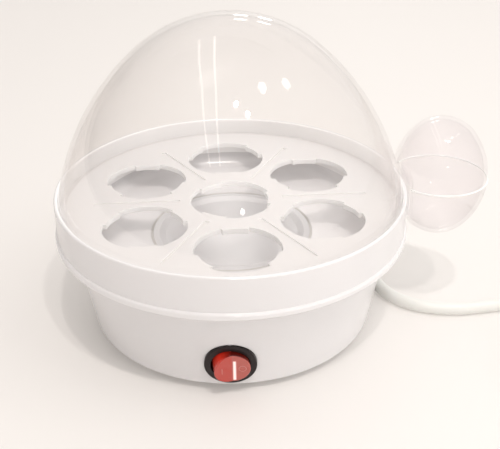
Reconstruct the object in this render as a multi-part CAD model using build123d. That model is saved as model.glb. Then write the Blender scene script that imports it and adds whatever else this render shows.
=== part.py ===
from build123d import *
import math
import os

# Electric egg cooker for seven eggs: clear domed lid with an egg-shaped grip, egg tray, water basin over a
# heated plate, and a base bowl with a rocker switch.
# Frame: origin on the cooker's axis at the table, +Z up, the switch faces -Y and the grip points to +X.
# Lengths are millimetres, angles are degrees.

# Base bowl
stand_height = 4.0
base_foot_radius = 70.4
base_top_gap = 3.9
base_edge_round = 0.8
shell_wall = 2.4
bottom_opening_radius = 52.0

# Ring with rim, lip, tray ledge and water basin
ring_radius = 85.0
ring_wall = 1.9
rim_z = 70.4
lip_z = 49.4
lip_height = 3.2
lip_proud = 1.0
basin_gap = 0.3
basin_wall_foot_z = 48.2
basin_floor_z = 45.3
basin_corner_round = 5.0

# Egg tray
tray_z = 62.1
tray_thickness = 2.5
tray_turn = 4.4
tray_clearance = 0.4
tray_skirt_depth = 4.0
tray_skirt_wall = 1.6
egg_hole_radius = 20.0
egg_hole_circle_radius = 48.2
egg_tab_depth = 1.8
egg_tab_angle = 38.0
egg_tabs_per_hole = 3
outer_egg_holes = 6
groove_width = 2.4
groove_depth = 0.6
groove_end_margin = 5.0

# Lid and grip
lid_clearance = 0.5
lid_wall = 2.0
lid_top_z = 153.2
dome_crown_radius = 66.2
dome_crown_angle = 41.0
skirt_above_rim = 0.6
grip_reach = 102.6
grip_turn = 3.3
grip_radius = 23.3
grip_half_height = 29.9
grip_cap_radius = 19.7
grip_above_rim = 1.1
grip_wall = 1.8
grip_neck_width = 20.0
grip_to_lip_gap = 0.7

# Heating plate and what hangs under it
plate_radius = 39.0
plate_thickness = 3.6
plate_dish_depth = 1.4
plate_dish_radius = 33.0
plate_rim_width = 3.0
plate_flange_width = 5.2
plate_flange_thickness = 1.5
seal_thickness = 1.2
seal_gap = 0.05
element_radius = 27.0
element_tube_radius = 3.5
element_gap = 0.1
element_open_angle = 60.0
element_bed_width = 12.0
element_pin_radius = 1.3
element_pin_length = 7.0
plate_post_radius = 6.0
plate_post_length = 8.7
bracket_width = 11.0
bracket_thickness = 1.5
bracket_screw_reach = 52.0
boss_radius = 4.0
thermostat_radius = 6.8
thermostat_height = 7.0
thermostat_reach = 13.6
thermostat_blade_spread = 4.0
fuse_radius = 2.1
fuse_length = 12.0
fuse_clip_width = 6.0
fuse_clip_wall = 0.9
fuse_clip_gap = 0.1

# Screws and blades
screw_radius = 1.45
pilot_radius = 1.55
clear_radius = 1.7
screw_head_radius = 3.0
screw_head_height = 2.0
screw_length = 9.0
pilot_spare = 1.0
blade_width = 4.8
blade_thickness = 0.8
blade_length = 8.0

# Bottom cover and feet
cover_thickness = 2.0
cover_radius = 60.0
cover_gap = 0.3
cover_screw_reach = 56.5
cover_screw_count = 4
pillar_radius = 4.0
vent_count = 12
vent_inner_radius = 20.0
vent_outer_radius = 36.0
vent_width = 3.0
foot_radius = 7.0
foot_reach = 50.0
foot_count = 4
foot_edge_round = 1.0
foot_stem_radius = 2.4
foot_stem_gap = 0.1

# Switch
switch_azimuth = -90.0
switch_z = 17.2
bezel_radius = 11.8
bezel_height = 0.8
bezel_round = 0.5
switch_body_radius = 9.9
switch_body_depth = 15.0
switch_hole_gap = 0.2
rocker_radius = 8.2
rocker_gap = 0.75
rocker_pivot_depth = 1.0
rocker_tilt = 10.0
rocker_crease_height = 3.9
rocker_skirt = 4.2
rocker_edge_round = 0.4
trunnion_radius = 1.2
trunnion_gap = 0.05
trunnion_reach = 9.5
socket_depth = 8.4
blade_pitch = 5.0
lamp_radius = 1.2
lamp_length = 8.0
lamp_gap = 0.1

# Cord entry
gland_azimuth = 90.0
gland_z = 16.0
gland_hole_radius = 6.0
gland_flange_radius = 8.0
gland_flange_thickness = 2.0
gland_length = 26.0
gland_root_radius = 5.6
gland_tip_radius = 4.3
gland_gap = 0.1
gland_run = 14.0
gland_groove_count = 4
gland_groove_width = 1.8
gland_groove_pitch = 4.2
gland_groove_depth = 0.9
cord_diameter = 6.5
cord_inside = 14.0
clamp_width = 26.0
clamp_length = 6.0
clamp_height = 4.3
clamp_split_gap = 0.4
clamp_screw_pitch = 17.0
clamp_screw_length = 8.0
core_radius = 1.1
core_offset = 1.5
core_straight = 5.0
live_run = 14.0
switched_run = 9.0
heater_run = 7.0
neutral_run = 6.0
earth_tag_reach = 22.0

# Cord on the table, and its coil
cord_z = 3.5
coil_centre = (204.0, 31.4)
coil_outer_radius = 36.0
coil_pitch = 7.2
coil_layer_rise = 7.0
coil_floor_turns = 1.0
coil_climb_turns = 0.5
coil_top_turns = 0.25
coil_arcs_per_turn = 4
coil_entry_run = 17.0

# Plug
plug_face_radius = 18.4
plug_flat = 15.4
plug_front_length = 18.0
plug_shoulder_length = 12.0
plug_neck_radius = 7.5
plug_sleeve_length = 16.0
plug_sleeve_tip_radius = 4.6
plug_tail_gap = 48.0
plug_tail_shift = 2.0
plug_lift = 0.1
pin_radius = 2.4
pin_length = 19.0
pin_pitch = 19.0
earth_socket_radius = 2.6
earth_socket_depth = 14.0
earth_socket_offset = 10.5
earth_clip_width = 7.0
earth_clip_thickness = 0.6
earth_clip_start = 2.0

# Places worked out from the sizes above
ring_inner_radius = ring_radius - ring_wall
base_top_radius = ring_inner_radius - base_top_gap
ledge_z = tray_z - tray_thickness
base_top_z = ledge_z - shell_wall
base_flare = (base_top_radius - base_foot_radius) / (base_top_z - stand_height)
base_lean = math.degrees(math.atan(base_flare))
flange_top_z = stand_height + cover_thickness + shell_wall
lid_radius = ring_inner_radius - lid_clearance
skirt_top_z = rim_z + skirt_above_rim
grip_z = rim_z + grip_above_rim
grip_trim_radius = ring_radius + lip_proud + grip_to_lip_gap
seal_outer_radius = plate_radius + seal_thickness
basin_land_radius = plate_radius + plate_flange_width + shell_wall
basin_under_z = basin_floor_z - shell_wall
flange_z = basin_under_z - seal_thickness
plate_under_z = flange_z - plate_flange_thickness
plate_top_z = basin_floor_z - seal_gap
bracket_top_z = plate_under_z - plate_post_length
cord_radius = cord_diameter / 2
plug_axis_z = plug_flat + plug_lift
far = 400.0


def base_radius(z):
    """Outer radius of the base bowl at a height."""
    return base_foot_radius + (z - stand_height) * base_flare


basin_radius = base_radius(basin_wall_foot_z - shell_wall) - 2 * shell_wall - basin_gap


def outline(points, rounded=()):
    """Closed outline, with the listed corners rounded."""
    face = make_face(Polyline(*points, close=True))
    for corner, radius in rounded:
        face = fillet(face.vertices().sort_by_distance((*corner, 0))[0], radius)
    return face


def turned(profile):
    """Solid of revolution about Z from an outline of radius and height."""
    return revolve(Plane.XZ * profile, Axis.Z)


def rod(radius, low, high, x=0.0, y=0.0):
    """Upright cylinder between two heights."""
    return Pos(x, y, low) * Cylinder(radius, high - low, align=(Align.CENTER, Align.CENTER, Align.MIN))


def block(x_size, y_size, low, high, x=0.0, y=0.0):
    """Upright box between two heights."""
    return Pos(x, y, low) * Box(x_size, y_size, high - low, align=(Align.CENTER, Align.CENTER, Align.MIN))


def half_egg(radius, height, cap_radius):
    """Upper half of an egg form about Z: a side arc that runs tangent into a rounder cap."""
    rise = height - cap_radius
    side_radius = (radius**2 + rise**2 - cap_radius**2) / (2 * (radius - cap_radius))
    meet = math.degrees(math.atan2(rise, side_radius - radius))
    side = CenterArc((radius - side_radius, 0), side_radius, 0, meet)
    cap = CenterArc((0, rise), cap_radius, meet, 90 - meet)
    return turned(make_face([side, cap, Polyline((0, height), (0, 0), (radius, 0))]))


def wall_place(azimuth, z):
    """Place on the base bowl's outer wall, with local Z along the wall's outward normal and local Y up."""
    turn, lean = math.radians(azimuth), math.radians(base_lean)
    radius = base_radius(z)
    side = Plane(
        origin=(radius * math.cos(turn), radius * math.sin(turn), z),
        x_dir=(-math.sin(turn), math.cos(turn), 0),
        z_dir=(math.cos(turn) * math.cos(lean), math.sin(turn) * math.cos(lean), -math.sin(lean)),
    )
    return side.location


def seat_depth(radius, z):
    """How far a flat round seat sinks into the bowl's curved wall."""
    wall_radius = base_radius(z)
    return wall_radius - math.sqrt(wall_radius**2 - radius**2)


def screw(length, place):
    """Pan-head screw whose head seats at the place, with its shank along local Z."""
    head = rod(screw_head_radius, -screw_head_height, 0)
    head = fillet(head.edges().sort_by(Axis.Z)[0], screw_head_height / 3)
    return place * (head + rod(screw_radius, 0, length))


def arc_radii(points):
    """Radius of each corner's arc: as large as its two runs allow."""
    radii = []
    for before, corner, after in zip(points, points[1:], points[2:]):
        run_in, run_out = Vector(*corner) - Vector(*before), Vector(*after) - Vector(*corner)
        half_turn = math.radians(run_in.get_angle(run_out)) / 2
        radii.append(0.45 * min(run_in.length, run_out.length) / math.tan(half_turn))
    return radii


def tube(points, radius):
    """Round tube along straight runs and tangent arcs."""
    path = FilletPolyline(*points, radius=arc_radii(points))
    return sweep(Plane(path @ 0, z_dir=path % 0) * Circle(radius), path=path)


switch_place = wall_place(switch_azimuth, switch_z)
gland_place = wall_place(gland_azimuth, gland_z)
switch_seat = -seat_depth(bezel_radius, switch_z)
gland_seat = -seat_depth(gland_flange_radius, gland_z)
pillar_places = PolarLocations(cover_screw_reach, cover_screw_count, 45)
bracket_screw_places = [Pos(x, 0, 0) for x in (-bracket_screw_reach, bracket_screw_reach)]
clamp_y = (gland_place * Pos(0, 0, -cord_inside / 2 - shell_wall)).position.Y
clamp_z = (gland_place * Pos(0, 0, -cord_inside / 2 - shell_wall)).position.Z
clamp_screw_places = [Pos(x, clamp_y, 0) for x in (-clamp_screw_pitch / 2, clamp_screw_pitch / 2)]


def make_base_housing():
    """Flared bowl with an inward floor flange, flat seats for switch and gland, and the cord's cradle."""
    inner_at = base_radius(flange_top_z) - shell_wall
    bowl = turned(
        outline(
            [
                (cover_radius + cover_gap, stand_height),
                (base_foot_radius, stand_height),
                (base_top_radius, base_top_z),
                (base_top_radius - shell_wall, base_top_z),
                (inner_at, flange_top_z),
                (bottom_opening_radius, flange_top_z),
                (bottom_opening_radius, stand_height + cover_thickness),
                (cover_radius + cover_gap, stand_height + cover_thickness),
            ],
            [((base_foot_radius, stand_height), base_edge_round)],
        )
    )
    cradle = block(clamp_width, clamp_length, flange_top_z, clamp_z, 0, clamp_y)
    bowl += cradle - gland_place * rod(cord_radius + gland_gap, -far, far)
    bowl -= switch_place * rod(bezel_radius + cover_gap, switch_seat, far)
    bowl -= switch_place * rod(switch_body_radius + switch_hole_gap, -switch_body_depth, far)
    bowl -= gland_place * rod(gland_flange_radius + cover_gap, gland_seat, far)
    bowl -= gland_place * rod(gland_hole_radius + gland_gap, -shell_wall * 2, far)
    bowl -= [place * rod(clear_radius, 0, flange_top_z) for place in pillar_places]
    pilot_foot = clamp_z + clamp_height - clamp_screw_length - screw_head_height
    bowl -= [place * rod(pilot_radius, max(pilot_foot, flange_top_z), far) for place in clamp_screw_places]
    return bowl


def make_upper_ring():
    """Rim band with its lip, the ledge for the tray, and the water basin with its screw pillars."""
    lip_radius = ring_radius + lip_proud
    rim_round = 0.48 * ring_wall
    ring = turned(
        outline(
            [
                (seal_outer_radius, basin_under_z),
                (basin_land_radius, basin_under_z),
                (basin_radius, basin_wall_foot_z - shell_wall),
                (basin_radius + shell_wall, basin_wall_foot_z - shell_wall),
                (basin_radius + shell_wall, base_top_z),
                (ring_inner_radius, base_top_z),
                (ring_inner_radius, lip_z),
                (lip_radius, lip_z),
                (lip_radius, lip_z + lip_height),
                (ring_radius, lip_z + lip_height + lip_proud / 2),
                (ring_radius, rim_z),
                (ring_inner_radius, rim_z),
                (ring_inner_radius, ledge_z),
                (basin_radius, ledge_z),
                (basin_radius, basin_wall_foot_z),
                (seal_outer_radius, basin_floor_z),
            ],
            [
                ((lip_radius, lip_z), lip_height / 4),
                ((lip_radius, lip_z + lip_height), lip_height / 2.5),
                ((ring_radius, rim_z), rim_round),
                ((ring_inner_radius, rim_z), rim_round),
                ((basin_radius, basin_wall_foot_z), basin_corner_round),
            ],
        )
    )
    inside = basin_under_z + shell_wall / 2
    for place in pillar_places:
        ring += place * rod(pillar_radius, flange_top_z, inside)
        ring -= place * rod(pilot_radius, flange_top_z, flange_top_z + screw_length + pilot_spare)
    for place in bracket_screw_places:
        ring += place * rod(boss_radius, bracket_top_z, inside)
        ring -= place * rod(pilot_radius, bracket_top_z, bracket_top_z + screw_length + pilot_spare)
    return ring


def make_bottom_cover():
    """Round cover with a ring of vent slots, screw holes and sockets for the feet."""
    top = stand_height + cover_thickness
    cover = rod(cover_radius, stand_height, top)
    slot_middle = (vent_inner_radius + vent_outer_radius) / 2
    slot = SlotOverall(vent_outer_radius - vent_inner_radius, vent_width)
    cut = extrude(Pos(0, 0, stand_height) * slot, cover_thickness)
    cover -= [place * cut for place in PolarLocations(slot_middle, vent_count, 15)]
    cover -= [place * rod(clear_radius, stand_height, top) for place in pillar_places]
    stem_hole = rod(foot_stem_radius + foot_stem_gap, stand_height, top)
    return cover - [place * stem_hole for place in PolarLocations(foot_reach, foot_count)]


def make_rubber_feet():
    """Round pads, each with a stem in the cover."""
    pad = rod(foot_radius, 0, stand_height)
    pad = fillet(pad.edges().group_by(Axis.Z)[0], foot_edge_round)
    foot = pad + rod(foot_stem_radius, stand_height, stand_height + cover_thickness)
    return Part() + [place * foot for place in PolarLocations(foot_reach, foot_count)]


def make_cover_screws():
    """Screws through cover and bowl into the ring's pillars."""
    length = cover_thickness + shell_wall + screw_length
    return Part() + [screw(length, place * Pos(0, 0, stand_height)) for place in pillar_places]


def make_heating_plate():
    """Dished plate with a clamping flange, a bed for the heating tube and a post for the bracket."""
    bed_inner = element_radius - element_bed_width / 2
    bed_outer = element_radius + element_bed_width / 2
    bed_z = plate_under_z - plate_thickness
    dish_z = plate_top_z - plate_dish_depth
    dish_outer = plate_radius - plate_rim_width
    plate = turned(
        outline(
            [
                (0, dish_z),
                (plate_dish_radius, dish_z),
                (dish_outer, plate_top_z),
                (plate_radius - seal_gap, plate_top_z),
                (plate_radius - seal_gap, flange_z),
                (plate_radius + plate_flange_width, flange_z),
                (plate_radius + plate_flange_width, plate_under_z),
                (bed_outer, plate_under_z),
                (bed_outer, bed_z),
                (bed_inner, bed_z),
                (bed_inner, plate_under_z),
                (plate_post_radius, plate_under_z),
                (plate_post_radius, bracket_top_z),
                (0, bracket_top_z),
            ]
        )
    )
    plate -= Pos(0, 0, bed_z) * Torus(element_radius, element_tube_radius + element_gap)
    return plate - rod(pilot_radius, bracket_top_z, bracket_top_z + screw_length + pilot_spare)


def make_plate_seal():
    """Soft ring between the plate's flange and the basin, with an upstand in the gap."""
    flange_outer = plate_radius + plate_flange_width
    return turned(
        outline(
            [
                (plate_radius, flange_z),
                (flange_outer, flange_z),
                (flange_outer, basin_under_z),
                (seal_outer_radius - seal_gap, basin_under_z),
                (seal_outer_radius - seal_gap, basin_floor_z),
                (plate_radius, basin_floor_z),
            ]
        )
    )


element_z = plate_under_z - plate_thickness
element_start = -90 + element_open_angle / 2
element_arc = CenterArc((0, 0), element_radius, element_start, 360 - element_open_angle)
element_path = Pos(0, 0, element_z) * element_arc
element_ends = [
    Plane(element_path @ 0, z_dir=-(element_path % 0)),
    Plane(element_path @ 1, z_dir=element_path % 1),
]


def make_heating_element():
    """Horseshoe of sheathed heating tube, bedded in the plate."""
    section = Plane(element_path @ 0, z_dir=element_path % 0) * Circle(element_tube_radius)
    return sweep(section, path=element_path)


def make_element_terminals():
    """Cold pins at the two ends of the heating tube."""
    return Part() + [end.location * rod(element_pin_radius, 0, element_pin_length) for end in element_ends]


def make_heater_bracket():
    """Steel bar that clamps the plate up against the basin."""
    length = 2 * bracket_screw_reach + bracket_width
    bar = extrude(SlotOverall(length, bracket_width), -bracket_thickness)
    bar = Pos(0, 0, bracket_top_z) * bar
    low = bracket_top_z - bracket_thickness
    return bar - [place * rod(clear_radius, low, bracket_top_z) for place in [Pos(), *bracket_screw_places]]


def make_bracket_screws():
    """Screws of the bracket: two into the basin's bosses, one into the plate's post."""
    length = bracket_thickness + screw_length
    seat = Pos(0, 0, bracket_top_z - bracket_thickness)
    return Part() + [screw(length, place * seat) for place in [Pos(), *bracket_screw_places]]


thermostat_low = plate_under_z - thermostat_height
thermostat_blades = [(x, -thermostat_reach) for x in (-thermostat_blade_spread, thermostat_blade_spread)]


def make_thermostat():
    """Snap-disc thermostat with its sensing cup against the plate."""
    cup_z = plate_under_z - thermostat_height / 3
    cup = rod(thermostat_radius, cup_z, plate_under_z, 0, -thermostat_reach)
    body = rod(thermostat_radius * 0.9, thermostat_low, cup_z, 0, -thermostat_reach)
    return cup + body


def make_thermostat_terminals():
    """Two blades under the thermostat."""
    low = thermostat_low - blade_length / 2
    blades = [block(blade_thickness, blade_width, low, thermostat_low, x, y) for x, y in thermostat_blades]
    return Part() + blades


fuse_place = Pos(0, thermostat_reach, plate_under_z - fuse_radius - fuse_clip_gap) * Rot(0, 90, 0)


def make_thermal_fuse():
    """Thermal fuse lying under the plate, with a narrower lead end each side."""
    body = rod(fuse_radius, -fuse_length / 2, fuse_length / 2)
    return fuse_place * (body + rod(fuse_radius / 3, -fuse_length, fuse_length))


def make_fuse_clip():
    """Saddle clip that holds the fuse to the plate."""
    bore = fuse_radius + fuse_clip_gap
    width = 2 * (bore + fuse_clip_wall)
    low = plate_under_z - bore - fuse_radius - fuse_clip_wall
    saddle = block(fuse_clip_width, width, low, plate_under_z, 0, thermostat_reach)
    saddle -= fuse_place * rod(bore, -far, far)
    return saddle - block(far, 2 * bore, fuse_place.position.Z, far, 0, thermostat_reach)


def make_switch_housing():
    """Round bezel and body of the snap-in switch, with the rocker's socket."""
    socket_radius = rocker_radius + rocker_gap
    body = turned(
        outline(
            [
                (0, -switch_body_depth),
                (switch_body_radius, -switch_body_depth),
                (switch_body_radius, switch_seat),
                (bezel_radius, switch_seat),
                (bezel_radius, bezel_height),
                (0, bezel_height),
            ],
            [((bezel_radius, bezel_height), bezel_round)],
        )
    )
    body -= rod(socket_radius, -socket_depth, far)
    body -= Pos(0, 0, -rocker_pivot_depth) * Rot(90, 0, 0) * Cylinder(trunnion_radius + trunnion_gap, far)
    return switch_place * body


def make_switch_rocker():
    """Rocker with a shallow V face, pressed in at its right side, on two trunnions."""
    rise = far * math.tan(math.radians(rocker_tilt))
    side = Polyline(
        (-far, -rocker_skirt),
        (far, -rocker_skirt),
        (far, rocker_crease_height + rise),
        (0, rocker_crease_height),
        (-far, rocker_crease_height + rise),
        close=True,
    )
    wedge = extrude(Plane.XZ * make_face(side), rocker_radius * 2, both=True)
    rocker = rod(rocker_radius, -rocker_skirt, far) & wedge
    faces_up = rocker.faces().filter_by(GeomType.PLANE).filter_by(lambda face: face.normal_at().Z > 0.5)
    rocker = fillet(faces_up.edges(), rocker_edge_round)
    rocker += Rot(90, 0, 0) * Cylinder(trunnion_radius, 2 * trunnion_reach)
    return switch_place * Pos(0, 0, -rocker_pivot_depth) * Rot(0, rocker_tilt, 0) * rocker


switch_blade_x = (-blade_pitch, 0.0, blade_pitch)


def make_switch_terminals():
    """Three blades on the back of the switch."""
    low = -switch_body_depth - blade_length
    blades = [block(blade_thickness, blade_width, low, -switch_body_depth, x) for x in switch_blade_x]
    return Part() + [switch_place * blade for blade in blades]


def make_switch_lamp():
    """Glow lamp lying in the bottom of the rocker's socket."""
    lamp_z = -socket_depth + lamp_gap + lamp_radius
    lamp = Pos(0, 0, lamp_z) * Rot(90, 0, 0) * Cylinder(lamp_radius, lamp_length)
    return switch_place * fillet(lamp.edges().filter_by(GeomType.CIRCLE), lamp_radius * 0.6)


def make_cord_gland():
    """Tapered strain relief with flex grooves, held in the wall between two flanges."""
    inner = gland_seat - shell_wall
    outer_flange = gland_seat + gland_flange_thickness
    bore = cord_radius + gland_gap
    gland = turned(
        outline(
            [
                (bore, inner - gland_flange_thickness),
                (gland_flange_radius, inner - gland_flange_thickness),
                (gland_flange_radius, inner - gland_gap),
                (gland_hole_radius, inner - gland_gap),
                (gland_hole_radius, gland_seat),
                (gland_flange_radius, gland_seat),
                (gland_flange_radius, outer_flange),
                (gland_root_radius, outer_flange),
                (gland_tip_radius, gland_length),
                (bore, gland_length),
            ],
            [((gland_flange_radius, outer_flange), gland_flange_thickness / 3)],
        )
    )
    taper = (gland_root_radius - gland_tip_radius) / (gland_length - outer_flange)
    for index in range(gland_groove_count):
        low = outer_flange + gland_groove_pitch * (index + 0.5)
        floor_radius = gland_root_radius - taper * (low - outer_flange) - gland_groove_depth
        gland -= rod(far, low, low + gland_groove_width) - rod(floor_radius, low, low + gland_groove_width)
    return gland_place * gland


def make_cord_inner_end():
    """The cord's end inside the gland and the clamp."""
    return gland_place * rod(cord_radius, -cord_inside, gland_length)


def make_cord_clamp():
    """Saddle that holds the cord down in its cradle."""
    low = clamp_z + clamp_split_gap
    saddle = block(clamp_width, clamp_length, low, clamp_z + clamp_height, 0, clamp_y)
    saddle -= gland_place * rod(cord_radius + gland_gap, -far, far)
    return saddle - [place * rod(clear_radius, 0, far) for place in clamp_screw_places]


def make_clamp_screws():
    """Screws of the cord clamp, driven from above."""
    seat = Pos(0, 0, clamp_z + clamp_height) * Rot(180, 0, 0)
    return Part() + [screw(clamp_screw_length, place * seat) for place in clamp_screw_places]


def core_start(angle):
    """Points on the inner end of the cord where a core comes out, and a little further along it."""
    turn = math.radians(angle)
    x, y = core_offset * math.cos(turn), core_offset * math.sin(turn)
    return [tuple((gland_place * Pos(x, y, -cord_inside - ahead)).position) for ahead in (0, core_straight)]


def switch_tip(x, below):
    """Point behind a switch blade, at a distance from its tip."""
    return tuple((switch_place * Pos(x, 0, -switch_body_depth - blade_length - below)).position)


def element_tip(end, beyond):
    """Point past the pin of one end of the heating tube."""
    return tuple((element_ends[end].location * Pos(0, 0, element_pin_length + beyond)).position)


blade_tip_z = thermostat_low - blade_length / 2


def make_live_core():
    """Core from the cord to the switch's supply blade."""
    way = [(-15, 38, 16), (-20, 14, 14), (-16, -12, 15)]
    end = [switch_tip(-blade_pitch, live_run), switch_tip(-blade_pitch, 0)]
    return tube([*core_start(-30), *way, *end], core_radius)


def make_switched_lead():
    """Lead from the switch to the thermostat."""
    x, y = thermostat_blades[1]
    start = [switch_tip(blade_pitch, 0), switch_tip(blade_pitch, switched_run)]
    end = [(x, y - 5, blade_tip_z - 6.5), (x, y, blade_tip_z - core_straight), (x, y, blade_tip_z)]
    return tube([*start, *end], core_radius)


def make_heater_lead():
    """Short lead from the thermostat to the heating tube."""
    x, y = thermostat_blades[0]
    low = blade_tip_z - core_straight
    start = [(x, y, blade_tip_z), (x, y, low), (x - 2, y - 6, low)]
    return tube([*start, element_tip(1, heater_run), element_tip(1, 0)], core_radius)


def make_neutral_core():
    """Core from the cord to the heating tube's other end."""
    way = [(16, 38, 17), (24, 16, 19), (27, -8, 22), (21, -21, 27)]
    return tube([*core_start(210), *way, element_tip(0, neutral_run), element_tip(0, 0)], core_radius)


def make_earth_core():
    """Core from the cord to the heater bracket."""
    under = bracket_top_z - bracket_thickness
    way = [(2, 36, 22), (8, 16, 22), (16, 3, 23)]
    end = [(earth_tag_reach, 0, under - core_straight), (earth_tag_reach, 0, under)]
    return tube([*core_start(90), *way, *end], core_radius)


def coil_radius_and_height(turns):
    """Spiral of the coil: in on the table, up a layer while it reverses, and out again on top."""
    climb_from, climb_to = coil_floor_turns, coil_floor_turns + coil_climb_turns
    inner = coil_outer_radius - coil_pitch * coil_floor_turns
    if turns <= climb_from:
        return coil_outer_radius - coil_pitch * turns, cord_z
    if turns >= climb_to:
        return inner + coil_pitch * (turns - climb_to), cord_z + coil_layer_rise
    share = (turns - climb_from) / coil_climb_turns
    dip = coil_pitch * coil_climb_turns * (share - share**2)
    return inner - dip, cord_z + coil_layer_rise * (1 - math.cos(math.pi * share)) / 2


def coil_point(turns):
    """Point of the coil's middle line; it starts nearest -Y and winds anticlockwise."""
    radius, z = coil_radius_and_height(turns)
    angle = math.radians(360 * turns - 90)
    return Vector(coil_centre[0] + radius * math.cos(angle), coil_centre[1] + radius * math.sin(angle), z)


coil_turns = coil_floor_turns + coil_climb_turns + coil_top_turns


def coil_tangent(turns):
    """Direction of the coil's middle line."""
    step = 1e-4
    low, high = max(turns - step, 0), min(turns + step, coil_turns)
    return (coil_point(high) - coil_point(low)).normalized()


coil_start = coil_point(0) - coil_tangent(0) * cord_diameter
coil_end = coil_point(coil_turns) + coil_tangent(coil_turns) * cord_diameter


def make_cord_coil():
    """Put-away length of cord, wound as one tube of paired arcs with a straight stub at each end."""
    edges = [Line(coil_start, coil_point(0))]
    arcs = round(coil_turns * coil_arcs_per_turn)
    for index in range(arcs):
        begin, end = index / coil_arcs_per_turn, (index + 1) / coil_arcs_per_turn
        first, last = coil_point(begin), coil_point(end)
        leaving, arriving = coil_tangent(begin), coil_tangent(end)
        chord, both = last - first, leaving + arriving
        spread = 2 * (1 - leaving.dot(arriving))
        reach = (math.sqrt(chord.dot(both) ** 2 + spread * chord.dot(chord)) - chord.dot(both)) / spread
        middle = (first + last + (leaving - arriving) * reach) * 0.5
        edges.append(TangentArc(first, middle, tangent=leaving))
        edges.append(TangentArc(middle, last, tangent=edges[-1] % 1))
    edges.append(Line(coil_point(coil_turns), coil_end))
    path = Wire(edges)
    return sweep(Plane(coil_start, z_dir=coil_tangent(0)) * Circle(cord_radius), path=path), path.length


def coil_least_gap():
    """Least clear distance between different turns of the coil."""
    steps = 60
    count = round(coil_turns * steps)
    points = [coil_point(index / steps) for index in range(count + 1)]
    pairs = [(a, b) for a in range(count + 1) for b in range(a + steps // 2, count + 1)]
    return min((points[a] - points[b]).length for a, b in pairs) - cord_diameter


gland_tip = (gland_place * Pos(0, 0, gland_length)).position
gland_away = (gland_place * Pos(0, 0, gland_length + gland_run)).position
cord_route = [
    tuple(gland_tip),
    tuple(gland_away),
    (4.9, 127.0, 6.8),
    (16.5, 139.4, 4.6),
    (32.3, 145.8, cord_z),
    (49.3, 145.1, cord_z),
    (64.3, 137.1, cord_z),
    (75.1, 122.7, cord_z),
    (80.3, 103.4, cord_z),
    (80.3, 79.4, cord_z),
    (76.6, 54.0, cord_z),
    (74.9, 32.0, cord_z),
    (75.9, 17.0, cord_z),
    (80.6, 3.6, cord_z),
    (90.0, -5.6, cord_z),
    (102.5, -10.4, cord_z),
    (116.5, -11.6, cord_z),
    (131.5, -8.9, cord_z),
    (147.5, -6.4, cord_z),
    (163.5, -5.5, cord_z),
    tuple(coil_start - coil_tangent(0) * coil_entry_run),
    tuple(coil_start),
]

plug_tail = Vector(coil_end.X - plug_tail_shift, coil_end.Y - plug_tail_gap, plug_axis_z)
plug_place = Location(Plane(plug_tail, x_dir=(1, 0, 0), z_dir=(0, -1, 0)))
tail_step = (plug_tail - coil_end) * (1 / 3)
tail_route = [
    tuple(coil_end),
    tuple(coil_end + coil_tangent(coil_turns) * tail_step.length),
    tuple(plug_tail + Vector(0, tail_step.length, 0)),
    tuple(plug_tail),
]
plug_face = plug_sleeve_length + plug_shoulder_length + plug_front_length


def plug_section(z):
    """Round plug outline with a flat on top and underneath."""
    flats = Rectangle(2 * plug_face_radius, 2 * plug_flat)
    return Pos(0, 0, z) * (Circle(plug_face_radius) & flats)


def make_plug_body():
    """Moulded earthed plug: tapered sleeve, shoulder and flat-sided front."""
    neck_z = plug_sleeve_length
    front_z = plug_sleeve_length + plug_shoulder_length
    sleeve = turned(
        outline([(0, 0), (plug_sleeve_tip_radius, 0), (plug_neck_radius, neck_z), (0, neck_z)])
    )
    shoulder = loft([Pos(0, 0, neck_z) * Circle(plug_neck_radius), Pos(0, 0, front_z) * Circle(plug_flat)])
    body = sleeve + shoulder + extrude(plug_section(front_z), plug_front_length)
    body -= rod(earth_socket_radius, plug_face - earth_socket_depth, far, 0, -earth_socket_offset)
    for side in (-1, 1):
        inset = plug_flat - earth_clip_thickness / 2
        low = front_z + earth_clip_start
        body -= block(earth_clip_width, earth_clip_thickness, low, far, 0, side * inset)
    return plug_place * body


def make_plug_pins():
    """Two round contact pins with domed tips."""
    pin = rod(pin_radius, plug_face, plug_face + pin_length)
    pin = fillet(pin.edges().group_by(Axis.Z)[-1], pin_radius * 0.8)
    return Part() + [plug_place * Pos(x, 0, 0) * pin for x in (-pin_pitch / 2, pin_pitch / 2)]


def make_earth_clips():
    """Earth contact strips let into the plug's flats."""
    low = plug_sleeve_length + plug_shoulder_length + earth_clip_start
    inset = plug_flat - earth_clip_thickness / 2
    strip = block(earth_clip_width, earth_clip_thickness, low, plug_face)
    return Part() + [plug_place * Pos(0, side * inset, 0) * strip for side in (-1, 1)]


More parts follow.
